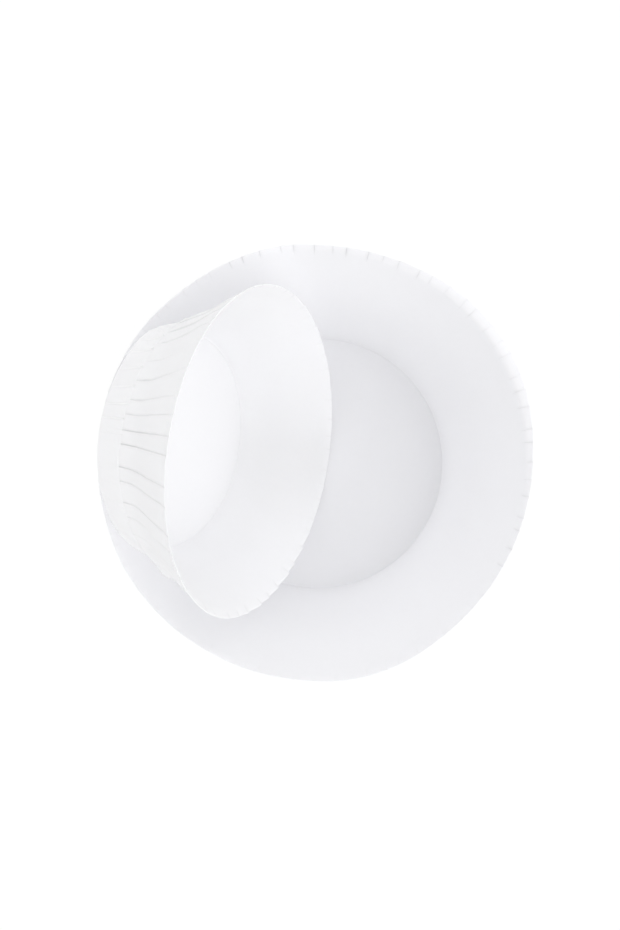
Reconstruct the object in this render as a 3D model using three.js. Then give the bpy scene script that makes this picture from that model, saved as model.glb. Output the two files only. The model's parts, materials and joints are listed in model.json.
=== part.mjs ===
// Two pleated filter-paper cups that line a Buchner funnel, one lying on its side in the other.
// Millimetres, +Z up. The origin is the centre of the large cup's underside, on the bench.
import * as THREE from 'three';

// ---- Driving dimensions: the large cup -------------------------------------------------
const largeBaseRadius = 62.5; // outside of the foot, which stands on the funnel's plate
const largeFootBand = 4.6; // gathered folds between the foot's outside and the flat floor
const largeRimRadius = 81.4; // outermost point of the cut edge
const largeHeight = 51.8;
const largeFootHeight = 16.3; // upright pleated band round the bottom
const largeWaist = 0.9; // how far the skirt is drawn in between the foot and the rim
const largePleats = 76;

// ---- Driving dimensions: the small cup -------------------------------------------------
const smallBaseRadius = 45;
const smallFootBand = 3.2;
const smallRimRadius = 59.4;
const smallHeight = 38.3;
const smallFootHeight = 11.8;
const smallWaist = 1.7;
const smallPleats = 48;

// ---- Driving dimensions: the paper, alike on both cups ----------------------------------
const sheet = 0.8; // pressed wall, filter paper folded upon itself
const lapRise = 0.55; // a pleat's free fold stands this far off the next pleat
const footLapRise = 0.3; // the same on the foot, where the pleats are pressed flatter
const footEdge = 0.35; // the foot's upper edge stands proud of the skirt
const footRounding = 0.9; // at the foot's bottom edge
const rimNotch = 0.6; // dip in the cut edge where two pleats meet
const slitLength = 3; // each pleat's end opens this far down the inside of the rim
const slitDepth = 0.35;
const spacingWander = 0.16; // share of a pitch by which the hand-laid pleats stray

// ---- Driving dimensions: how the small cup lies in the large one ------------------------
const seatGap = 0.3; // between the small cup and the floor that it lies on
const wallClearance = 5.8; // from the small cup's foot to the large cup's wall
const leanAzimuth = THREE.MathUtils.degToRad(-9.1); // which way the small cup's mouth faces

// ---- Pattern: where a pleat's section is drawn, and how high it stands there --------------
const PLEAT_SECTION = [
  { along: 0, rise: 0, slit: 1 },
  { along: 0.42, rise: 0.55, slit: 0 },
  { along: 0.87, rise: 1, slit: 0 },
];
const SKIRT_RINGS = 6;
const INSIDE_RINGS = 4;
const WANDER_BEAT = 2.3; // radians of stray from one pleat to the next, so that none repeats

// ---- Shape of the waist: it is deepest below the skirt's middle, and eases off at its ends -
const WAIST_LEAN = 0.7;
const WAIST_EASE = 1.3;

const largeCup = {
  baseRadius: largeBaseRadius,
  floorRadius: largeBaseRadius - largeFootBand,
  rimRadius: largeRimRadius,
  height: largeHeight,
  footHeight: largeFootHeight,
  waist: largeWaist,
  pleats: largePleats,
};

const smallCup = {
  baseRadius: smallBaseRadius,
  floorRadius: smallBaseRadius - smallFootBand,
  rimRadius: smallRimRadius,
  height: smallHeight,
  footHeight: smallFootHeight,
  waist: smallWaist,
  pleats: smallPleats,
};

// Radius of the inside of the wall at a height: a straight flare, drawn in above the foot.
function innerRadius(cup, z) {
  const rimInside = cup.rimRadius - lapRise - sheet;
  const flare = (z - sheet) / (cup.height - sheet);
  const skirt = Math.max(0, (z - cup.footHeight) / (cup.height - cup.footHeight));
  const drawnIn = cup.waist * Math.sin(Math.PI * skirt ** WAIST_LEAN) ** WAIST_EASE;
  return THREE.MathUtils.lerp(cup.floorRadius, rimInside, flare) - drawnIn;
}

// The cup's closed section from the axis, under the floor, up the outside, over the rim and
// down the inside. rise is how far the pleats lift a point, notch how far they lower it, and
// slit how far they part it.
function cupSection(cup) {
  const creaseRadius = innerRadius(cup, cup.footHeight) + sheet;
  const footTop = creaseRadius + footEdge;
  const rows = [
    { r: cup.baseRadius - footRounding, z: 0, rise: 0, notch: 0, slit: 0 },
    { r: cup.baseRadius, z: footRounding, rise: 0, notch: 0, slit: 0 },
    { r: footTop, z: cup.footHeight - footEdge, rise: footLapRise, notch: 0, slit: 0 },
    { r: creaseRadius, z: cup.footHeight, rise: footLapRise, notch: 0, slit: 0 },
  ];
  for (let ring = 1; ring <= SKIRT_RINGS; ring += 1) {
    const z = THREE.MathUtils.lerp(cup.footHeight, cup.height, ring / SKIRT_RINGS);
    const notch = ring === SKIRT_RINGS ? rimNotch : 0;
    rows.push({ r: innerRadius(cup, z) + sheet, z, rise: lapRise, notch, slit: 0 });
  }
  for (const depth of [0, slitLength]) {
    const z = cup.height - depth;
    const open = depth === 0 ? 1 : 0;
    rows.push({ r: innerRadius(cup, z), z, rise: 0, notch: rimNotch * open, slit: slitDepth * open });
  }
  for (let ring = INSIDE_RINGS; ring >= 1; ring -= 1) {
    const share = ring / (INSIDE_RINGS + 1);
    const z = THREE.MathUtils.lerp(cup.footHeight, cup.height - slitLength, share);
    rows.push({ r: innerRadius(cup, z), z, rise: 0, notch: 0, slit: 0 });
  }
  rows.push({ r: innerRadius(cup, cup.footHeight), z: cup.footHeight, rise: 0, notch: 0, slit: 0 });
  rows.push({ r: cup.floorRadius, z: sheet, rise: 0, notch: 0, slit: 0 });
  return rows;
}

// Where each section point stands round the cup; the pleats' starts stray a little.
function pleatStations(cup) {
  const pitch = (2 * Math.PI) / cup.pleats;
  const start = (i) => pitch * (i + spacingWander * Math.sin(WANDER_BEAT * (i % cup.pleats)));
  const stations = [];
  for (let i = 0; i < cup.pleats; i += 1) {
    for (const point of PLEAT_SECTION) {
      stations.push({ ...point, angle: THREE.MathUtils.lerp(start(i), start(i + 1), point.along) });
    }
  }
  return stations;
}

// One cup as a closed solid, standing on its foot at the origin.
function cupGeometry(cup) {
  const rows = cupSection(cup);
  const stations = pleatStations(cup);
  const positions = [0, 0, 0];
  for (const row of rows) {
    for (const station of stations) {
      const r = row.r + row.rise * station.rise + row.slit * station.slit;
      const z = row.z - row.notch * (1 - station.rise);
      positions.push(r * Math.cos(station.angle), r * Math.sin(station.angle), z);
    }
  }
  const top = positions.length / 3;
  positions.push(0, 0, sheet);

  const count = stations.length;
  const vertex = (row, station) => 1 + row * count + (station % count);
  const faces = [];
  for (let s = 0; s < count; s += 1) {
    faces.push(0, vertex(0, s + 1), vertex(0, s));
    for (let row = 0; row + 1 < rows.length; row += 1) {
      faces.push(vertex(row, s), vertex(row, s + 1), vertex(row + 1, s + 1));
      faces.push(vertex(row, s), vertex(row + 1, s + 1), vertex(row + 1, s));
    }
    faces.push(top, vertex(rows.length - 1, s), vertex(rows.length - 1, s + 1));
  }
  const geometry = new THREE.BufferGeometry();
  geometry.setAttribute('position', new THREE.Float32BufferAttribute(positions, 3));
  geometry.setIndex(faces);
  geometry.computeVertexNormals();
  return geometry;
}

// The tilt at which a cup lies on its side with both its foot and its rim on the floor.
function lyingTilt(cup) {
  return Math.PI / 2 - Math.atan2(cup.rimRadius - cup.baseRadius, cup.height - footRounding);
}

// How far from the large cup's centre the lying cup's foot can touch down, so that its round
// base, which leans outwards, keeps the clearance to the wall at every height.
function footReach(outer, lying, tilt) {
  const steps = 40;
  let reach = Infinity;
  for (let step = 1; step <= steps; step += 1) {
    const above = ((outer.height - sheet) * step) / steps;
    const drop = lying.baseRadius - above / Math.sin(tilt);
    const halfWidth = Math.sqrt(Math.max(0, lying.baseRadius ** 2 - drop ** 2));
    const room = innerRadius(outer, sheet + above) - wallClearance;
    const along = Math.sqrt(Math.max(0, room ** 2 - halfWidth ** 2));
    reach = Math.min(reach, along - above / Math.tan(tilt));
  }
  return reach;
}

function paper(colour) {
  return new THREE.MeshStandardMaterial({ color: colour, roughness: 0.95, metalness: 0 });
}

function makeLargeCup() {
  const mesh = new THREE.Mesh(cupGeometry(largeCup), paper(0xf2f2f5));
  mesh.name = 'large_filter_cup';
  return mesh;
}

// The small cup in a group that lays it down: its +X side turns to the floor, then the group
// turns to the azimuth and moves until foot and rim lie a seat gap above the floor.
function makeSmallCup() {
  const mesh = new THREE.Mesh(cupGeometry(smallCup), paper(0xf5f5f8));
  mesh.name = 'small_filter_cup';
  const tilt = lyingTilt(smallCup);
  const reach = footReach(largeCup, smallCup, tilt);
  const back = -reach - smallCup.baseRadius * Math.cos(tilt);
  const lying = new THREE.Group();
  lying.rotation.set(0, tilt, leanAzimuth, 'ZYX');
  lying.position.set(
    back * Math.cos(leanAzimuth),
    back * Math.sin(leanAzimuth),
    sheet + seatGap + smallCup.baseRadius * Math.sin(tilt) - footRounding * Math.cos(tilt),
  );
  lying.add(mesh);
  return lying;
}

const filterCups = new THREE.Group();
filterCups.add(makeLargeCup(), makeSmallCup());
export default filterCups;
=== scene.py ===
"""Two pleated filter-paper cups for a laboratory funnel, one lying on its side in the other.

Each cup is one pressed sheet of filter paper: a flat floor, an upright foot band and a flared
skirt that is gathered into lapped pleats and ends in a serrated cut edge. A cup's sizes are in
millimetres in its own frame, mouth up and underside at zero, until its mesh is finished. Then
the mesh is brought to metres and laid where the frame says.
"""

import json
import logging
import math
import random
from dataclasses import dataclass
from enum import Enum, auto

import bmesh
import bpy
from mathutils import Matrix, Vector


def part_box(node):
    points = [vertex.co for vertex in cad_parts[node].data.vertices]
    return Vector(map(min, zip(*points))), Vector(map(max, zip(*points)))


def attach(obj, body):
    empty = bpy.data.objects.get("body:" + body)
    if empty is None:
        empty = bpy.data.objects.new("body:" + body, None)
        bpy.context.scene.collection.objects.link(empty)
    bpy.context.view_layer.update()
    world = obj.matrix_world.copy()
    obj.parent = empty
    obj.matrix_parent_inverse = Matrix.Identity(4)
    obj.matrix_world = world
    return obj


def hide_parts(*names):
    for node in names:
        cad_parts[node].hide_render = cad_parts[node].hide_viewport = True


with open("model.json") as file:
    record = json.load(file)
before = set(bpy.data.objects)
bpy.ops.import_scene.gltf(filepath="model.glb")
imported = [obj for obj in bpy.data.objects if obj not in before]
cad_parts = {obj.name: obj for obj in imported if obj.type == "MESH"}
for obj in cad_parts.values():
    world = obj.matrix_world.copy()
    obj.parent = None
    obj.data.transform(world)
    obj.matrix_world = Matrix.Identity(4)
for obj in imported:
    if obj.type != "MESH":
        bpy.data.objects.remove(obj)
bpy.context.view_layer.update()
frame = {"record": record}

LOG = logging.getLogger("filter_cups")
MM = 0.001


# ---- Paper: how a sheet is folded into a cup ------------------------------------------------


class Stretch(Enum):
    """The stretches of paper that a cup's section passes through, out from the axis and back."""

    UNDERSIDE = auto()
    FOOT = auto()
    SKIRT = auto()
    CUT_EDGE = auto()
    INSIDE = auto()
    FLOOR = auto()


@dataclass(frozen=True)
class Ring:
    """One point of a cup's section, which becomes a ring round its axis.

    r and z are in millimetres, and share says how far along its stretch the point lies. On the
    inside, share runs with the height too: 0 at the floor and 1 at the cut edge.
    """

    r: float
    z: float
    stretch: Stretch
    share: float


@dataclass(frozen=True)
class Station:
    """One point of a pleat's course round the cup.

    along is a share of the pleat's width. lift, seam, ridge and groove say how much of the lap's
    height, of the seam's depth and painted shade, of the foot's pressed ridge and its painted
    highlight and of the painted shade beside that there is at that point, and beside_seam how
    much it takes of the painted shade where a pleat's end opens at the cut edge.
    """

    along: float
    lift: float = 0.0
    seam: float = 0.0
    ridge: float = 0.0
    shade_beside_ridge: float = 0.0
    beside_seam: float = 0.0


RIDGE_AT = 0.3
PLEAT_COURSE = (
    Station(0.0, seam=1.0, beside_seam=1.0),
    Station(0.018, lift=0.1, seam=0.6, beside_seam=1.0),
    Station(0.042, lift=0.2, beside_seam=1.0),
    Station(0.16, lift=0.33),
    Station(0.265, lift=0.42),
    Station(RIDGE_AT, lift=0.45, ridge=1.0),
    Station(0.36, lift=0.5, ridge=1.0),
    Station(0.395, lift=0.53, shade_beside_ridge=1.0),
    Station(0.43, lift=0.56),
    Station(0.62, lift=0.74),
    Station(0.85, lift=0.96),
    Station(0.958, lift=1.0, seam=0.25, beside_seam=1.0),
    Station(0.982, lift=0.8, seam=0.8, beside_seam=1.0),
)


@dataclass(frozen=True)
class Fineness:
    """How many rings each stretch of a cup's section has."""

    underside: int = 3
    foot_edge: int = 4
    foot: int = 10
    skirt: int = 30
    cut_edge: int = 2
    inside: int = 33
    corner: int = 2
    floor: int = 9


@dataclass(frozen=True)
class Folding:
    """How the paper lies in its folds. What has no default differs by the cup.

    The shades are shares of the seam's full painted shade, which they paint into the ticks, the
    crease, the floor's corner and beside the foot's ridges. tick_blur is the share of a tick's
    painted shade that lies beside it, and pleat_spread is how far from 1 a pleat's lay strays at
    most. All else is in millimetres. A tick is the short slit that a pleat's end leaves in the
    lining at the cut edge.
    """

    tooth: float
    tick_step: float
    tick_depth: float
    tick_shade: float
    tick_blur: float
    rim_sheet: float
    lap_at_rim: float
    corner_shade: float
    sheet: float = 0.8
    lap: float = 0.45
    standing_lap: float = 0.5
    foot_lap: float = 0.08
    seam_depth: float = 0.3
    corner_width: float = 2.0
    crease_shade: float = 0.12
    crease_width: float = 1.2
    ridge: float = 0.28
    painted_shade_beside_ridge: float = 0.06
    crease_stray: float = 0.4
    crease_reach: float = 2.5
    foot_rounding: float = 0.9
    edge_rounding: float = 0.06
    floor_rounding: float = 0.06
    pleat_spread: float = 0.5
    tick_length: float = 2.6


def turn_between(azimuth: float, middle: float) -> float:
    """Returns how far an azimuth lies from a middle one, in degrees, from -180 to 180."""
    return (azimuth - middle + 180) % 360 - 180


@dataclass(frozen=True)
class Swell:
    """Where the soft wall stands further out: by amount at its middle, in millimetres.

    azimuth and spread are in degrees round the cup, height and reach in millimetres up it.
    """

    azimuth: float
    spread: float
    height: float
    reach: float
    amount: float

    def at(self, azimuth: float, height: float) -> float:
        """Works out how much of the swell there is at one place on the wall.

        Args:
            azimuth: where it lies round the cup, in degrees.
            height: how high it lies, in millimetres.

        Returns:
            How far it moves out, in millimetres.
        """
        round_about = turn_between(azimuth, self.azimuth) / self.spread
        up_and_down = (height - self.height) / self.reach
        return self.amount * math.exp(-(round_about**2) - up_and_down**2)


@dataclass(frozen=True)
class CupSizes:
    """One cup's driving sizes, in millimetres.

    The lip is bent out by lip_flare all round, and by curl more on one side, which lies at
    curl_azimuth and is curl_spread wide, both in degrees. sway is how high the soft wall's waves
    are, which take it off its circle.
    """

    base_radius: float
    floor_radius: float
    rim_radius: float
    height: float
    foot_height: float
    waist: float
    lip_height: float
    lip_flare: float
    curl: float
    curl_azimuth: float
    curl_spread: float
    sway: float


@dataclass(frozen=True)
class Seam:
    """Where a pleat starts, in degrees round its cup, and how strongly its seam shows, up to 1.

    strength is how strongly it shows at the crease, and at_rim at the cut edge, both in the
    slit's depth and in its painted shade.
    """

    angle: float
    strength: float
    at_rim: float


@dataclass(frozen=True)
class Pleat:
    """One pleat, from its own seam to the next. start and end are angles in radians.

    strength and at_rim are its seam's. lay, ridge, tooth and tick say how much it has of the
    lap, of the ridge on the foot, of the tooth and of the tick. standing is how far it stands
    off the middle of the skirt, in millimetres. stray is how far the crease strays in height
    past the ridge, and stray_before how far short of it, in millimetres too.
    """

    start: float
    end: float
    strength: float
    at_rim: float
    lay: float
    standing: float
    ridge: float
    tooth: float
    tick: float
    stray: float
    stray_before: float


@dataclass
class Fold:
    """How folding changes one point of a cup.

    out and up are how far it moves from the axis and in height, in millimetres. seam is how much
    painted shade it takes: in a seam's slit, an open tick, the crease, the floor's corner and beside
    a foot's ridge. ridge is how much it lies on a ridge of the foot, which takes a painted
    highlight, and lip how much on the curled lip, which takes painted light. All run from 0 to 1.
    """

    out: float = 0.0
    up: float = 0.0
    seam: float = 0.0
    ridge: float = 0.0
    lip: float = 0.0


# Powers that shape the waist outside and inside: a lean under 1 moves its deepest place down and
# one over 1 moves it up, and an ease softens its ends.
WAIST_LEAN = 0.52
WAIST_EASE = 2.2
LINING_LEAN = 1.18
LINING_EASE = 2.0

# Points closer than this are one, in millimetres.
WELD = 0.001

# The power by which the floor's rings crowd towards the wall.
FLOOR_CROWDING = 3

# The power by which the lip bends out, the curl in millimetres that presses the folds quite flat,
# and the share of a seam's painted shade that it then takes away.
LIP_BEND = 0.95
PRESSING_CURL = 1.0
CURL_GLARE = 0.5

# How far up the skirt the laps reach their height, and the power by which a seam's strength
# changes from the crease to the cut edge.
LAP_START = 0.12
SEAM_EASE = 0.7

# The power by which a ridge fades down the foot. The others are shares of a sharp ridge, a deep
# tooth and a fully open tick, and a pair is a range.
RIDGE_FADE = 0.25
FAINT_RIDGES = (0.05, 0.45)
SHALLOW_TOOTH = 0.3
OPEN_TICKS = (0.3, 1.0)
CLOSED_TICK = 0.1

# How many times faster a tick's painted shade darkens than the tick opens.
TICK_SHARPNESS = 2.5

# How far up the wall the teeth of the cut edge begin, and the power by which they sharpen.
EDGE_START = 0.9
TOOTH_EASE = 4

# The soft wall's waves: how many there are in a round, their share of the sway, and their phase.
SWAY_WAVES = ((3, 1.0, 0.8), (7, 0.6, 2.1), (16, 0.35, 0.0))


def lerp(start: float, end: float, share: float) -> float:
    """Returns the value that lies a share of the way from start to end."""
    return start + (end - start) * share


def shares(count: int) -> list[float]:
    """Returns the shares at which a stretch's rings lie: its start left out, its end taken in."""
    return [i / count for i in range(1, count + 1)]


def crowded(count: int) -> list[float]:
    """Returns such shares, crowded at both ends so that the shading turns sharply there."""
    return [(1 - math.cos(math.pi * share)) / 2 for share in shares(count)]


@dataclass(frozen=True)
class Arc:
    """A stretch of a cup's round, in degrees: where it starts, and how long it is."""

    start: float = 0.0
    length: float = 0.0

    def holds(self, angle: float) -> bool:
        """Returns whether an angle, in degrees, lies on it."""
        return (angle - self.start) % 360 < self.length


NOWHERE = Arc()


@dataclass
class PleatedCup:
    """A cup of pleated filter paper, built as one closed shell.

    seams are in rising order, and place lays the finished cup in the frame. The arcs say where
    the foot's ridges stand up sharply with a full painted highlight, where the pleats stand off
    the skirt, where the cut edge is ragged and where the ticks open and take dark painted shade.
    swells say where its wall is out of round. seed fixes how the pleats differ from each other.
    """

    name: str
    node: str
    body: str
    slot: str
    sizes: CupSizes
    seams: list[Seam]
    place: Matrix
    sharp_ridges: Arc
    standing_pleats: Arc
    deep_teeth: Arc
    dark_ticks: Arc
    swells: tuple[Swell, ...]
    seed: int
    folding: Folding
    fineness: Fineness = Fineness()

    def flare(self, z: float) -> float:
        """Works out the wall's even flare, on its inside, at a height.

        Args:
            z: height above the underside, in millimetres.

        Returns:
            The radius, in millimetres: straight up the foot and straight up the skirt, and then
            turned out to a lip at the cut edge.
        """
        s, f = self.sizes, self.folding
        skirt = max(0.0, (z - s.foot_height) / (s.height - s.foot_height))
        lip = max(0.0, 1 - (s.height - z) / s.lip_height)
        wall = (z - f.sheet) / (s.height - f.sheet)
        straight = lerp(s.floor_radius, s.rim_radius - f.rim_sheet, wall)
        return straight - s.lip_flare * (skirt - lip**LIP_BEND)

    def skirt_radius(self, z: float) -> float:
        """Works out the outside's radius under the pleats: the flare, drawn in from the foot up.

        Args:
            z: height above the underside, in millimetres.

        Returns:
            The radius, in millimetres.
        """
        s, f = self.sizes, self.folding
        skirt = min(1.0, max(0.0, (z - s.foot_height) / (s.height - s.foot_height)))
        drawn_in = s.waist * math.sin(math.pi * skirt**WAIST_LEAN) ** WAIST_EASE
        return self.flare(z) - drawn_in + lerp(f.sheet, f.rim_sheet, skirt)

    def lining_radius(self, z: float) -> float:
        """Works out the inside's radius: the flare, drawn in softly all the way from the floor.

        Args:
            z: height above the underside, in millimetres.

        Returns:
            The radius, in millimetres.
        """
        s, f = self.sizes, self.folding
        wall = (z - f.sheet) / (s.height - f.sheet)
        return self.flare(z) - s.waist * math.sin(math.pi * wall**LINING_LEAN) ** LINING_EASE

    def outer_section(self) -> list[Ring]:
        """Lays out the cup's section from the axis, under the floor and up to the cut edge.

        Returns:
            The section's points in order.
        """
        s, f, n = self.sizes, self.folding, self.fineness
        flat = s.base_radius - f.foot_rounding
        crease = self.skirt_radius(s.foot_height)
        rings = [Ring(flat * share, 0.0, Stretch.UNDERSIDE, share) for share in (0.0, *shares(n.underside))]
        for share in shares(n.foot_edge):
            turn = math.pi / 2 * share
            r = flat + f.foot_rounding * math.sin(turn)
            rings.append(Ring(r, f.foot_rounding * (1 - math.cos(turn)), Stretch.FOOT, 0.0))
        for share in shares(n.foot):
            z = lerp(f.foot_rounding, s.foot_height, share)
            rings.append(Ring(lerp(s.base_radius, crease, share), z, Stretch.FOOT, share))
        for share in crowded(n.skirt):
            z = lerp(s.foot_height, s.height - f.edge_rounding, share)
            rings.append(Ring(self.skirt_radius(z), z, Stretch.SKIRT, share))
        return rings

    def inner_section(self) -> list[Ring]:
        """Lays out the rest of the section: over the cut edge, down the wall and to the axis.

        Returns:
            The section's points in order.
        """
        s, f, n = self.sizes, self.folding, self.fineness
        outer = self.skirt_radius(s.height) - f.edge_rounding
        inner = self.lining_radius(s.height) + f.edge_rounding
        rings = [
            Ring(lerp(outer, inner, share), s.height, Stretch.CUT_EDGE, share)
            for share in (0.0, *shares(n.cut_edge))
        ]
        foot_of_wall = f.sheet + f.floor_rounding
        for down in (0.0, *crowded(n.inside)):
            z = lerp(s.height - f.edge_rounding, foot_of_wall, down)
            rings.append(Ring(self.lining_radius(z), z, Stretch.INSIDE, 1 - down))
        start = self.lining_radius(foot_of_wall)
        edge = s.floor_radius - f.floor_rounding
        for share in shares(n.corner):
            z = lerp(foot_of_wall, f.sheet, 1 - (1 - share) ** 2)
            rings.append(Ring(lerp(start, edge, share), z, Stretch.FLOOR, share))
        for share in shares(n.floor):
            rings.append(Ring(edge * (1 - share**FLOOR_CROWDING), f.sheet, Stretch.FLOOR, 1.0))
        return rings

    def spun(self, rings: list[Ring]) -> bmesh.types.BMesh:
        """Spins the section through one pleat, and that pleat round the axis, into a closed shell.

        Args:
            rings: the section's points.

        Returns:
            The shell, whose vertices carry the number of their ring in an integer layer.
        """
        shell = bmesh.new()
        ring_of = shell.verts.layers.int.new("ring")
        points = [shell.verts.new((ring.r, 0.0, ring.z)) for ring in rings]
        for number, point in enumerate(points):
            point[ring_of] = number
        chain = [shell.edges.new(pair) for pair in zip(points, points[1:])]
        pitch = math.tau / len(self.seams)
        around = {"cent": (0.0, 0.0, 0.0), "axis": (0.0, 0.0, 1.0), "dvec": (0.0, 0.0, 0.0)}
        bmesh.ops.spin(shell, geom=[*points, *chain], angle=pitch, steps=len(PLEAT_COURSE), **around)
        bmesh.ops.remove_doubles(shell, verts=shell.verts[:], dist=WELD)
        copies = len(self.seams) - 1
        pleat = [*shell.verts[:], *shell.edges[:], *shell.faces[:]]
        bmesh.ops.spin(shell, geom=pleat, angle=pitch * copies, steps=copies, use_duplicate=True, **around)
        bmesh.ops.remove_doubles(shell, verts=shell.verts[:], dist=WELD)
        bmesh.ops.recalc_face_normals(shell, faces=shell.faces[:])
        return shell

    def pleats(self) -> list[Pleat]:
        """Works out how each pleat is laid.

        Returns:
            The pleats, in the order of their seams.
        """
        f = self.folding
        draw = random.Random(self.seed)
        strays = [f.crease_stray * draw.uniform(-1, 1) for _ in self.seams]
        ends = [*(seam.angle for seam in self.seams[1:]), self.seams[0].angle + 360]
        pleats = []
        for number, (seam, end) in enumerate(zip(self.seams, ends)):
            faint_ridge = lerp(*FAINT_RIDGES, draw.random())
            dark_tick = lerp(*OPEN_TICKS, draw.random())
            standing = f.standing_lap if self.standing_pleats.holds(seam.angle) else 0.0
            pleats.append(
                Pleat(
                    start=math.radians(seam.angle),
                    end=math.radians(end),
                    strength=seam.strength,
                    at_rim=seam.at_rim,
                    lay=1 + f.pleat_spread * draw.uniform(-1, 1),
                    standing=standing,
                    ridge=1.0 if self.sharp_ridges.holds(seam.angle) else faint_ridge,
                    tooth=1.0 if self.deep_teeth.holds(seam.angle) else SHALLOW_TOOTH,
                    tick=dark_tick if self.dark_ticks.holds(seam.angle) else CLOSED_TICK,
                    stray=strays[number],
                    stray_before=strays[number - 1],
                )
            )
        return pleats

    def on_foot(self, up: float, station: Station, pleat: Pleat) -> Fold:
        """Folds a point of the foot, where the pleats are pressed flat.

        Args:
            up: how far up the foot it lies, from 0 to 1.
            station: where it lies on its pleat.
            pleat: the pleat.

        Returns:
            The change.
        """
        f = self.folding
        pressed = pleat.ridge * up**RIDGE_FADE
        out = f.foot_lap * station.lift * pleat.lay * up + f.ridge * station.ridge * pressed
        # Beside the ridge the colour takes painted shade, and on the ridge a painted highlight.
        shade_beside_ridge = f.painted_shade_beside_ridge * station.shade_beside_ridge * pressed
        return Fold(out=out, seam=shade_beside_ridge, ridge=station.ridge * pressed)

    def on_skirt(self, up: float, station: Station, pleat: Pleat) -> Fold:
        """Folds a point of the skirt's outside, where each pleat laps over the next.

        Args:
            up: how far up the skirt it lies, from 0 to 1.
            station: where it lies on its pleat.
            pleat: the pleat.

        Returns:
            The change.
        """
        f, s = self.folding, self.sizes
        lap = lerp(f.lap, f.lap_at_rim, up * up) * pleat.lay * min(1.0, up / LAP_START)
        lap = (lap + pleat.standing * math.sin(math.pi * up)) * station.lift
        # The seam's slit takes painted shade, strong at the crease and paler up the skirt, and so does the
        # skirt's foot along the crease.
        shade = station.seam * lerp(pleat.strength, pleat.at_rim, up**SEAM_EASE)
        above_crease = up * (s.height - s.foot_height) / f.crease_width
        dark = max(shade, f.crease_shade * math.exp(-above_crease))
        return Fold(out=lap - f.seam_depth * shade, seam=dark)

    def on_lining(self, below_edge: float, station: Station, pleat: Pleat) -> Fold:
        """Folds a point of the inside, where each pleat's end opens a little at the cut edge.

        Args:
            below_edge: how far below the cut edge it lies, in millimetres.
            station: where it lies on its pleat.
            pleat: the pleat.

        Returns:
            The change.
        """
        f = self.folding
        opening = max(0.0, 1 - below_edge / (f.tick_length * pleat.lay))
        step = f.tick_step * (1 - station.along) + f.tick_depth * station.seam * pleat.tick
        # The open tick and the paper beside it take painted shade.
        dark = f.tick_shade * pleat.tick * max(station.seam, f.tick_blur * station.beside_seam)
        return Fold(out=opening * step, seam=min(1.0, TICK_SHARPNESS * opening) * dark)

    def corner_shade(self, ring: Ring) -> float:
        """Returns the painted shade that the lining takes in the corner of the floor and the wall."""
        away = abs(ring.r - self.sizes.floor_radius) + ring.z - self.folding.sheet
        return self.folding.corner_shade * math.exp(-away / self.folding.corner_width)

    def folded(self, ring: Ring, station: Station, pleat: Pleat) -> Fold:
        """Works out how folding changes one point of the cup.

        Args:
            ring: where it lies on the section.
            station: where it lies on its pleat.
            pleat: the pleat.

        Returns:
            The change.
        """
        s, f = self.sizes, self.folding
        angle = lerp(pleat.start, pleat.end, station.along)
        swollen = sum(swell.at(math.degrees(angle), ring.z) for swell in self.swells)
        if ring.stretch is Stretch.UNDERSIDE:
            return Fold(out=swollen * ring.share)
        if ring.stretch is Stretch.FLOOR:
            return Fold(seam=self.corner_shade(ring))
        if ring.stretch is Stretch.FOOT:
            fold = self.on_foot(ring.share, station, pleat)
        elif ring.stretch is Stretch.SKIRT:
            fold = self.on_skirt(ring.share, station, pleat)
        elif ring.stretch is Stretch.INSIDE:
            fold = self.on_lining(s.height - ring.z, station, pleat)
            fold.seam += self.corner_shade(ring)
        else:
            outer, inner = self.on_skirt(1.0, station, pleat), self.on_lining(0.0, station, pleat)
            out, seam = lerp(outer.out, inner.out, ring.share), lerp(outer.seam, inner.seam, ring.share)
            fold = Fold(out=out, seam=seam)
        if ring.stretch in (Stretch.FOOT, Stretch.SKIRT):
            stray = pleat.stray if station.along >= RIDGE_AT else pleat.stray_before
            fold.up = stray * math.exp(-(((ring.z - s.foot_height) / f.crease_reach) ** 2))
        if ring.stretch is not Stretch.FOOT:
            share = 1.0 if ring.stretch is Stretch.CUT_EDGE else ring.share
            edge = max(0.0, (share - EDGE_START) / (1 - EDGE_START))
            curled = self.curled(angle, s.height - ring.z)
            pressed = curled * min(1.0, s.curl / PRESSING_CURL)
            fold.up -= f.tooth * pleat.tooth * (1 - station.lift) * edge**TOOTH_EASE
            fold.out *= 1 - pressed
            fold.out += self.sway_at(angle, share) + s.curl * curled
            # On the curled lip the seams' painted shade pales, and the lip takes painted light.
            fold.seam *= 1 - CURL_GLARE * pressed
            fold.lip = pressed
        fold.out += swollen * (ring.share if ring.stretch is Stretch.INSIDE else 1.0)
        return fold

    def sway_at(self, angle: float, share: float) -> float:
        """Returns how far the soft wall stands off its circle there, in millimetres."""
        slow = sum(part * math.sin(waves * angle + phase) for waves, part, phase in SWAY_WAVES)
        return self.sizes.sway * share * share * slow * (1 - math.cos(angle)) / 2

    def curled(self, angle: float, below_edge: float) -> float:
        """Works out how much of the lip's one-sided curl there is at one place.

        Args:
            angle: where it lies round the cup, in radians.
            below_edge: how far below the cut edge it lies, in millimetres.

        Returns:
            The curl's share there, from 0 to 1.
        """
        s = self.sizes
        away = turn_between(math.degrees(angle), s.curl_azimuth)
        lip = max(0.0, 1 - below_edge / s.lip_height)
        return math.exp(-((away / s.curl_spread) ** 2)) * lip**LIP_BEND

    def fold(self, shell: bmesh.types.BMesh, rings: list[Ring]) -> None:
        """Moves the even shell's vertices into the pleats, and marks their painted shade and light.

        Args:
            shell: the spun shell, changed in place.
            rings: the section's points, which the shell's integer layer numbers.
        """
        ring_of = shell.verts.layers.int["ring"]
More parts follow.
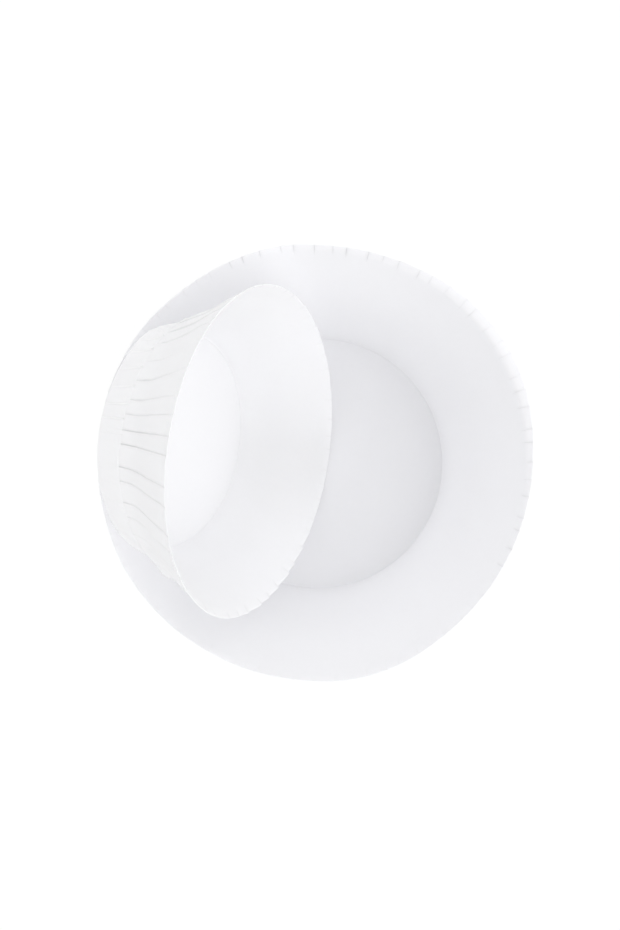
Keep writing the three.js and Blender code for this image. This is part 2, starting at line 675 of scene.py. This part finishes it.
        # seam marks painted shade, ridge a painted highlight on the foot's ridges, and lip painted light on
        # the curled lip.
        marks = {mark: shell.verts.layers.float.new(mark) for mark in ("seam", "ridge", "lip")}
        pleats = self.pleats()
        steps = len(pleats) * len(PLEAT_COURSE)
        for vertex in shell.verts:
            ring = rings[vertex[ring_of]]
            turned = math.atan2(vertex.co.y, vertex.co.x) % math.tau
            number, point = divmod(round(turned / math.tau * steps) % steps, len(PLEAT_COURSE))
            pleat, station = pleats[number], PLEAT_COURSE[point]
            fold = self.folded(ring, station, pleat)
            angle = lerp(pleat.start, pleat.end, station.along)
            r = ring.r + fold.out
            vertex.co = Vector((r * math.cos(angle), r * math.sin(angle), ring.z + fold.up))
            for mark, layer in marks.items():
                vertex[layer] = getattr(fold, mark)

    def build(self) -> bpy.types.Object:
        """Builds the cup, lays it in the frame, puts it on its body and hides the imported part.

        Returns:
            The finished piece, at the origin, riding on its body.
        """
        rings = [*self.outer_section(), *self.inner_section()]
        shell = self.spun(rings)
        self.fold(shell, rings)
        bmesh.ops.transform(shell, matrix=self.place @ Matrix.Scale(MM, 4), verts=shell.verts[:])
        for face in shell.faces:
            face.smooth = True
        mesh = bpy.data.meshes.new(self.name)
        shell.to_mesh(mesh)
        shell.free()
        cup = bpy.data.objects.new(self.name, mesh)
        bpy.context.scene.collection.objects.link(cup)
        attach(cup, self.body)
        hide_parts(self.node)
        LOG.info("%s: %d pleats, %d faces", self.name, len(self.seams), len(mesh.polygons))
        return cup


# ---- The two cups ------------------------------------------------------------------------------

# The seams that show on the small cup's back, in their order round it.
SEEN_SEAMS = (
    Seam(142.1, 0.1, at_rim=0.0),
    Seam(151.2, 0.2, at_rim=0.0),
    Seam(159.9, 0.5, at_rim=0.0),
    Seam(167.9, 0.5, at_rim=0.05),
    Seam(173.6, 0.45, at_rim=0.15),
    Seam(179.6, 0.75, at_rim=0.25),
    Seam(184.8, 0.95, at_rim=0.3),
    Seam(193.5, 0.85, at_rim=0.35),
    Seam(199.0, 0.8, at_rim=0.45),
    Seam(207.9, 0.6, at_rim=0.45),
    Seam(214.5, 0.6, at_rim=0.5),
    Seam(223.8, 0.35, at_rim=0.35),
    Seam(230.2, 0.4, at_rim=0.35),
    Seam(237.5, 0.4, at_rim=0.35),
)
PLAIN_SEAM = 0.4
PLAIN_SEAM_AT_RIM = 0.15

# The share of a pitch by which pleats stray, and the radians of stray from one to the next.
SPACING_WANDER = 0.16
WANDER_BEAT = 2.3


def plain_seam(angle: float) -> Seam:
    """Returns a seam like most of them, at an angle in degrees."""
    return Seam(angle, PLAIN_SEAM, PLAIN_SEAM_AT_RIM)


def even_seams(pleats: int) -> list[Seam]:
    """Spaces a cup's pleats evenly, each a little astray as a hand lays them.

    Args:
        pleats: how many there are.

    Returns:
        The seams at which they start.
    """
    strays = [SPACING_WANDER * math.sin(WANDER_BEAT * i) for i in range(pleats)]
    return [plain_seam(360 / pleats * (i + stray)) for i, stray in enumerate(strays)]


def seen_and_even_seams(pleats: int) -> list[Seam]:
    """Puts the pleats of the small cup's back where they show, and spaces the others evenly.

    Args:
        pleats: how many there are in all.

    Returns:
        The seams at which they start, from the first one that shows.
    """
    others = pleats - len(SEEN_SEAMS) + 1
    last = SEEN_SEAMS[-1].angle
    pitch = (SEEN_SEAMS[0].angle + 360 - last) / others
    strays = [SPACING_WANDER * math.sin(WANDER_BEAT * i) for i in range(1, others)]
    hidden = [plain_seam(last + pitch * (i + stray)) for i, stray in enumerate(strays, start=1)]
    return [*SEEN_SEAMS, *hidden]


LARGE_PLEATS = 76
SMALL_PLEATS = 48


def large_cup() -> PleatedCup:
    """Describes the large cup, whose height and rim come from the frame.

    Returns:
        The cup, standing on its foot at the origin.
    """
    low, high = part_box("large_filter_cup")
    sizes = CupSizes(
        base_radius=62.5,
        floor_radius=57.9,
        rim_radius=(high.x - low.x) / 2 / MM,
        height=(high.z - low.z) / MM,
        foot_height=16.3,
        waist=0.9,
        lip_height=1.8,
        lip_flare=0.4,
        curl=2.4,
        curl_azimuth=32.0,
        curl_spread=26.0,
        sway=0.3,
    )
    return PleatedCup(
        name="large_pleated_cup",
        node="large_filter_cup",
        body="large_cup",
        slot="large_cup_paper",
        sizes=sizes,
        seams=even_seams(LARGE_PLEATS),
        place=Matrix.Identity(4),
        sharp_ridges=NOWHERE,
        standing_pleats=NOWHERE,
        deep_teeth=NOWHERE,
        dark_ticks=Arc(start=330.0, length=140.0),
        swells=(
            Swell(azimuth=32.0, spread=45.0, height=sizes.height, reach=26.0, amount=1.45),
            Swell(azimuth=102.0, spread=14.0, height=sizes.height, reach=26.0, amount=0.7),
            Swell(azimuth=218.0, spread=14.0, height=sizes.height, reach=26.0, amount=0.5),
            Swell(azimuth=284.0, spread=19.0, height=sizes.height, reach=26.0, amount=1.8),
        ),
        seed=5,
        folding=Folding(
            tooth=0.4,
            tick_step=0.1,
            tick_depth=0.18,
            tick_shade=0.65,
            tick_blur=0.3,
            rim_sheet=0.35,
            lap_at_rim=0.08,
            corner_shade=0.13,
        ),
    )


def lying_place(mount_name: str) -> Matrix:
    """Works out how a cup lies from the interface on its underside.

    Args:
        mount_name: the interface's name in the record.

    Returns:
        The matrix from the cup's own frame to the part's: its +Z points out of its mouth, and its
        +X, square to that, as far down as can be.
    """
    mount = next(m for m in frame["record"]["mounts"] if m["name"] == mount_name)
    mouth = -Vector(mount["axis"]).normalized()
    down = Vector((0.0, 0.0, -1.0))
    lowest = (down - mouth * down.dot(mouth)).normalized()
    side = mouth.cross(lowest)
    turned = Matrix((lowest, side, mouth)).transposed().to_4x4()
    return Matrix.Translation(Vector(mount["pos_m"])) @ turned


def small_cup() -> PleatedCup:
    """Describes the small cup, which lies on its foot's edge and its rim.

    Returns:
        The cup, laid where the frame says.
    """
    sizes = CupSizes(
        base_radius=45.0,
        floor_radius=41.8,
        rim_radius=59.4,
        height=38.3,
        foot_height=11.8,
        waist=1.7,
        lip_height=3.2,
        lip_flare=0.6,
        curl=0.4,
        curl_azimuth=256.0,
        curl_spread=36.0,
        sway=0.12,
    )
    return PleatedCup(
        name="small_pleated_cup",
        node="small_filter_cup",
        body="small_cup",
        slot="small_cup_paper",
        sizes=sizes,
        seams=seen_and_even_seams(SMALL_PLEATS),
        place=lying_place("small_cup_underside"),
        sharp_ridges=Arc(start=126.0, length=50.0),
        standing_pleats=Arc(start=228.0, length=34.0),
        deep_teeth=Arc(start=262.0, length=64.0),
        dark_ticks=Arc(start=232.0, length=62.0),
        swells=(
            Swell(azimuth=134.0, spread=16.0, height=0.0, reach=4.0, amount=1.3),
            Swell(azimuth=122.0, spread=24.0, height=17.5, reach=7.5, amount=2.1),
            Swell(azimuth=115.0, spread=26.0, height=32.0, reach=7.0, amount=1.0),
            Swell(azimuth=246.0, spread=12.0, height=17.0, reach=4.5, amount=2.6),
        ),
        seed=11,
        folding=Folding(
            tooth=0.8,
            tick_step=0.06,
            tick_depth=0.2,
            tick_shade=0.8,
            tick_blur=0.35,
            rim_sheet=0.25,
            lap_at_rim=0.15,
            corner_shade=0.05,
        ),
    )


# ---- Finishes ------------------------------------------------------------------------------------

InputValues = dict[str | int, object]
Colour = tuple[float, float, float, float]

WHITE: Colour = (1.0, 1.0, 1.0, 1.0)

# A strand's turn about Z, divided by these, gives its turns about X, Y and Z.
TURN_DIVISORS = (2, 3, 1)


class NodeSheet:
    """A node tree of a material or of the world, with short calls to add nodes and join them."""

    def __init__(self, owner: bpy.types.Material | bpy.types.World) -> None:
        """Empties the owner's node tree.

        Args:
            owner: the material or world that the tree belongs to.
        """
        owner.use_nodes = True
        self.tree = owner.node_tree
        self.tree.nodes.clear()

    def add(self, kind: str, values: InputValues | None = None, **settings: object) -> bpy.types.Node:
        """Adds a node.

        Args:
            kind: the node's type, without its ShaderNode prefix.
            values: values or sockets for its inputs, by the input's name or number.
            settings: values for the node's own properties.

        Returns:
            The node.
        """
        node = self.tree.nodes.new(f"ShaderNode{kind}")
        for name, value in settings.items():
            setattr(node, name, value)
        for name, value in (values or {}).items():
            if isinstance(name, int):
                socket = node.inputs[name]
            else:
                socket = next(s for s in node.inputs if s.name == name and s.enabled)
            if isinstance(value, bpy.types.NodeSocket):
                self.tree.links.new(value, socket)
            else:
                socket.default_value = value
        return node

    def get(
        self, kind: str, values: InputValues | None = None, **settings: object
    ) -> bpy.types.NodeSocket:
        """Adds a node and returns its first output that is in use; the arguments are add's."""
        node = self.add(kind, values, **settings)
        return next(s for s in node.outputs if s.enabled)


@dataclass(frozen=True)
class PaperFinish:
    """Matt, slightly fibrous filter paper. Sizes are in millimetres.

    thin and the three shares after it are shares of the colour's lightness: thin where the sheet is
    thinnest, and then painted shade down in the seams, ticks, crease and floor's corner, a painted
    highlight on the foot's ridges and painted light on the curled lip. see_through is the share of
    the light that the sheet lets through. cloud is how large the sheet's clouds are, and
    cloud_range the stretch of noise that they are drawn from. fibre is how broad a strand is, and
    fibre_turns are the ways that strands run, in degrees about Z. relief is how high they stand.
    """

    name: str
    colour: tuple[float, float, float]
    thin: float = 0.993
    painted_seam_shade: float = 0.72
    painted_ridge_highlight: float = 1.06
    painted_lip_light: float = 1.03
    roughness: float = 0.92
    specular: float = 0.18
    see_through: float = 0.42
    cloud: float = 1.6
    cloud_detail: float = 5.0
    cloud_roughness: float = 0.6
    cloud_range: tuple[float, float] = (0.35, 0.65)
    fibre: float = 0.45
    fibre_stretch: float = 5.0
    fibre_detail: float = 2.0
    fibre_roughness: float = 0.5
    fibre_turns: tuple[float, float] = (20.0, 110.0)
    relief: float = 0.05
    relief_strength: float = 0.5

    def shaded(self, factor: float) -> Colour:
        """Returns the paper's colour times a factor, as a node colour."""
        red, green, blue = (min(1.0, channel * factor) for channel in self.colour)
        return (red, green, blue, 1.0)

    def clouds(self, sheet: NodeSheet, place: bpy.types.NodeSocket) -> bpy.types.NodeSocket:
        """Draws the sheet's cloudy thickness, from 0 where it is thin to 1 where it is thick.

        Args:
            sheet: the tree to add to.
            place: the coordinates to draw it on.

        Returns:
            The socket that carries it.
        """
        noise = {
            "Vector": place,
            "Scale": 1 / (self.cloud * MM),
            "Detail": self.cloud_detail,
            "Roughness": self.cloud_roughness,
        }
        thin, thick = self.cloud_range
        spread = {"Value": sheet.get("TexNoise", noise), "From Min": thin, "From Max": thick}
        return sheet.get("MapRange", spread)

    def strands(self, sheet: NodeSheet, place: bpy.types.NodeSocket, turn: float) -> bpy.types.NodeSocket:
        """Draws fine fibres that run one way, as noise drawn out along them.

        Args:
            sheet: the tree to add to.
            place: the coordinates to draw them on.
            turn: the way that they run, in degrees about Z.

        Returns:
            The socket that carries their height.
        """
        scale = 1 / (self.fibre * MM)
        turned = {
            "Vector": place,
            "Rotation": tuple(math.radians(turn / divisor) for divisor in TURN_DIVISORS),
            "Scale": (scale / self.fibre_stretch, scale, scale),
        }
        noise = {
            "Vector": sheet.get("Mapping", turned),
            "Scale": 1.0,
            "Detail": self.fibre_detail,
            "Roughness": self.fibre_roughness,
        }
        return sheet.get("TexNoise", noise)

    def dress(self, cup: bpy.types.Object) -> None:
        """Makes the material and puts it on a cup.

        Args:
            cup: the piece, whose mesh carries the seam, ridge and lip attributes.
        """
        material = bpy.data.materials.new(self.name)
        sheet = NodeSheet(material)
        place = next(s for s in sheet.add("TexCoord").outputs if s.name == "Object")
        colour = sheet.get(
            "Mix",
            {"Factor": self.clouds(sheet, place), "A": self.shaded(self.thin), "B": self.shaded(1.0)},
            data_type="RGBA",
        )
        # The seams, ticks, crease and corner take painted shade, the foot's ridges a painted highlight and
        # the curled lip painted light.
        shades = {"seam": self.painted_seam_shade, "ridge": self.painted_ridge_highlight, "lip": self.painted_lip_light}
        for attribute, shade in shades.items():
            share = next(
                s for s in sheet.add("Attribute", attribute_name=attribute).outputs if s.name == "Fac"
            )
            colour = sheet.get(
                "Mix", {"Factor": share, "A": colour, "B": self.shaded(shade)}, data_type="RGBA"
            )
        fibres = {way: self.strands(sheet, place, turn) for way, turn in enumerate(self.fibre_turns)}
        felt = sheet.get("Math", fibres, operation="MAXIMUM")
        height = {"Height": felt, "Strength": self.relief_strength, "Distance": self.relief * MM}
        bump = sheet.get("Bump", height)
        paper = sheet.get(
            "BsdfPrincipled",
            {
                "Base Color": colour,
                "Roughness": self.roughness,
                "Specular IOR Level": self.specular,
                "Normal": bump,
            },
        )
        glow = sheet.get("BsdfTranslucent", {"Color": colour, "Normal": bump})
        lit_through = sheet.get("MixShader", {0: self.see_through, 1: paper, 2: glow})
        sheet.add("OutputMaterial", {"Surface": lit_through})
        cup.data.materials.append(material)
        LOG.info("%s: dressed in %s", cup.name, self.name)


# ---- Studio --------------------------------------------------------------------------------------


@dataclass(frozen=True)
class SoftLight:
    """A soft distant light.

    azimuth runs from +X towards +Y, and spread is how wide the light looks, both in degrees as
    elevation is. level is how bright it makes a white that faces it.
    """

    name: str
    azimuth: float
    elevation: float
    level: float
    spread: float = 50.0

    def hang(self) -> None:
        """Puts the light into the scene."""
        lamp = bpy.data.lights.new(self.name, "SUN")
        lamp.energy = self.level * math.pi
        lamp.angle = math.radians(self.spread)
        light = bpy.data.objects.new(self.name, lamp)
        a, e = math.radians(self.azimuth), math.radians(self.elevation)
        towards = Vector((math.cos(a) * math.cos(e), math.sin(a) * math.cos(e), math.sin(e)))
        light.rotation_euler = towards.to_track_quat("Z", "Y").to_euler()
        light.location = towards
        bpy.context.scene.collection.objects.link(light)


@dataclass(frozen=True)
class View:
    """The camera's place, straight above the cups.

    Lengths are in millimetres, and pixels are those of an image that is 620 wide and 930 high.
    foot_of_view is the pixel straight below the camera, and nearest is where its sight begins.
    """

    above: tuple[float, float, float] = (7.75, -2.37, 269.9)
    focal_pixels: float = 580.0
    image: tuple[int, int] = (620, 930)
    foot_of_view: tuple[float, float] = (334.0, 468.5)
    sensor: float = 36.0
    nearest: float = 10.0

    def set_up(self) -> None:
        """Makes the camera and hands it to the scene."""
        wide, high = self.image
        camera = bpy.data.cameras.new("camera")
        camera.sensor_width = self.sensor
        camera.lens = self.sensor * self.focal_pixels / high
        camera.shift_x = (wide / 2 - self.foot_of_view[0]) / high
        camera.shift_y = (self.foot_of_view[1] - high / 2) / high
        camera.clip_start = self.nearest * MM
        eye = bpy.data.objects.new("camera", camera)
        eye.location = Vector(self.above) * MM
        bpy.context.scene.collection.objects.link(eye)
        bpy.context.scene.camera = eye


@dataclass(frozen=True)
class Studio:
    """A white floor under a white sky, with soft lights.

    ambient is how bright the sky makes a white. floor_size is in metres, and floor_drop, how far
    below the cups the floor lies, in millimetres. floor_strength is how brightly the floor glows
    where it is seen directly, and floor_glow how large the glow's share is there.
    """

    ambient: float = 0.47
    floor_size: float = 6.0
    floor_drop: float = 0.2
    floor_colour: Colour = (0.9, 0.9, 0.9, 1.0)
    floor_strength: float = 1.03
    floor_glow: float = 0.85
    bounces: int = 16
    lights: tuple[SoftLight, ...] = (
        SoftLight("front_right", azimuth=-45.0, elevation=40.0, level=0.225),
        SoftLight("high_right", azimuth=0.0, elevation=68.0, level=0.185),
        SoftLight("left", azimuth=180.0, elevation=40.0, level=0.168),
        SoftLight("back", azimuth=90.0, elevation=40.0, level=0.115),
        SoftLight("back_right", azimuth=45.0, elevation=23.0, level=0.13),
        SoftLight("low_front_right", azimuth=-45.0, elevation=15.0, level=0.09),
        SoftLight("low_right", azimuth=0.0, elevation=15.0, level=0.08),
        SoftLight("high_front", azimuth=-90.0, elevation=68.0, level=0.055),
        SoftLight("low_front_left", azimuth=-135.0, elevation=20.0, level=0.045),
        SoftLight("low_back_left", azimuth=135.0, elevation=15.0, level=0.02),
    )

    def seen_directly(self, sheet: NodeSheet) -> bpy.types.NodeSocket:
        """Adds the test whether the eye sees a surface directly, in a gloss or through glass.

        Args:
            sheet: the tree to add to.

        Returns:
            The socket that carries 1 if it does, and else 0.
        """
        path = {s.name: s for s in sheet.add("LightPath").outputs}
        plain = sheet.get(
            "Math", {0: path["Is Camera Ray"], 1: path["Is Glossy Ray"]}, operation="MAXIMUM"
        )
        seen = sheet.get("Math", {0: plain, 1: path["Is Transmission Ray"]}, operation="MAXIMUM")
        seen_less_scattered = {0: seen, 1: path["Is Diffuse Ray"]}
        return sheet.get("Math", seen_less_scattered, operation="SUBTRACT", use_clamp=True)

    def lay_floor(self) -> None:
        """Lays the floor, which shows white but for the cups' faint shadow."""
        sheet_of_floor = bmesh.new()
        bmesh.ops.create_grid(sheet_of_floor, x_segments=1, y_segments=1, size=self.floor_size / 2)
        bmesh.ops.translate(
            sheet_of_floor, verts=sheet_of_floor.verts[:], vec=(0.0, 0.0, -self.floor_drop * MM)
        )
        mesh = bpy.data.meshes.new("floor")
        sheet_of_floor.to_mesh(mesh)
        sheet_of_floor.free()
        floor = bpy.data.objects.new("floor", mesh)
        bpy.context.scene.collection.objects.link(floor)
        material = bpy.data.materials.new("white_floor")
        sheet = NodeSheet(material)
        plain = sheet.get("BsdfDiffuse", {"Color": self.floor_colour})
        glow = sheet.get("Emission", {"Color": WHITE, "Strength": self.floor_strength})
        shown = sheet.get("MixShader", {0: self.floor_glow, 1: plain, 2: glow})
        surface = sheet.get("MixShader", {0: self.seen_directly(sheet), 1: plain, 2: shown})
        sheet.add("OutputMaterial", {"Surface": surface})
        mesh.materials.append(material)

    def light_sky(self) -> None:
        """Makes the sky, which lights the cups evenly and shows white."""
        world = bpy.data.worlds.new("white_sky")
        bpy.context.scene.world = world
        sheet = NodeSheet(world)
        soft = sheet.get("Background", {"Color": WHITE, "Strength": self.ambient})
        white = sheet.get("Background", {"Color": WHITE, "Strength": 1.0})
        sky = sheet.get("MixShader", {0: self.seen_directly(sheet), 1: soft, 2: white})
        sheet.add("OutputWorld", {"Surface": sky})

    def set_up(self) -> None:
        """Lays the floor and lights the cups."""
        self.lay_floor()
        self.light_sky()
        for light in self.lights:
            light.hang()
        bpy.context.scene.view_settings.view_transform = "Standard"
        bpy.context.scene.cycles.max_bounces = self.bounces
        bpy.context.scene.cycles.diffuse_bounces = self.bounces


def main() -> None:
    """Builds the two cups, dresses them and sets up the studio."""
    logging.basicConfig(level=logging.INFO, format="%(name)s: %(message)s")
    View().set_up()
    large_paper = PaperFinish("large_cup_filter_paper", colour=(0.955, 0.955, 0.965))
    small_paper = PaperFinish("small_cup_filter_paper", colour=(0.968, 0.968, 0.973), painted_lip_light=1.0)
    large_paper.dress(large_cup().build())
    small_paper.dress(small_cup().build())
    Studio().set_up()


if __name__ == "__main__":
    main()
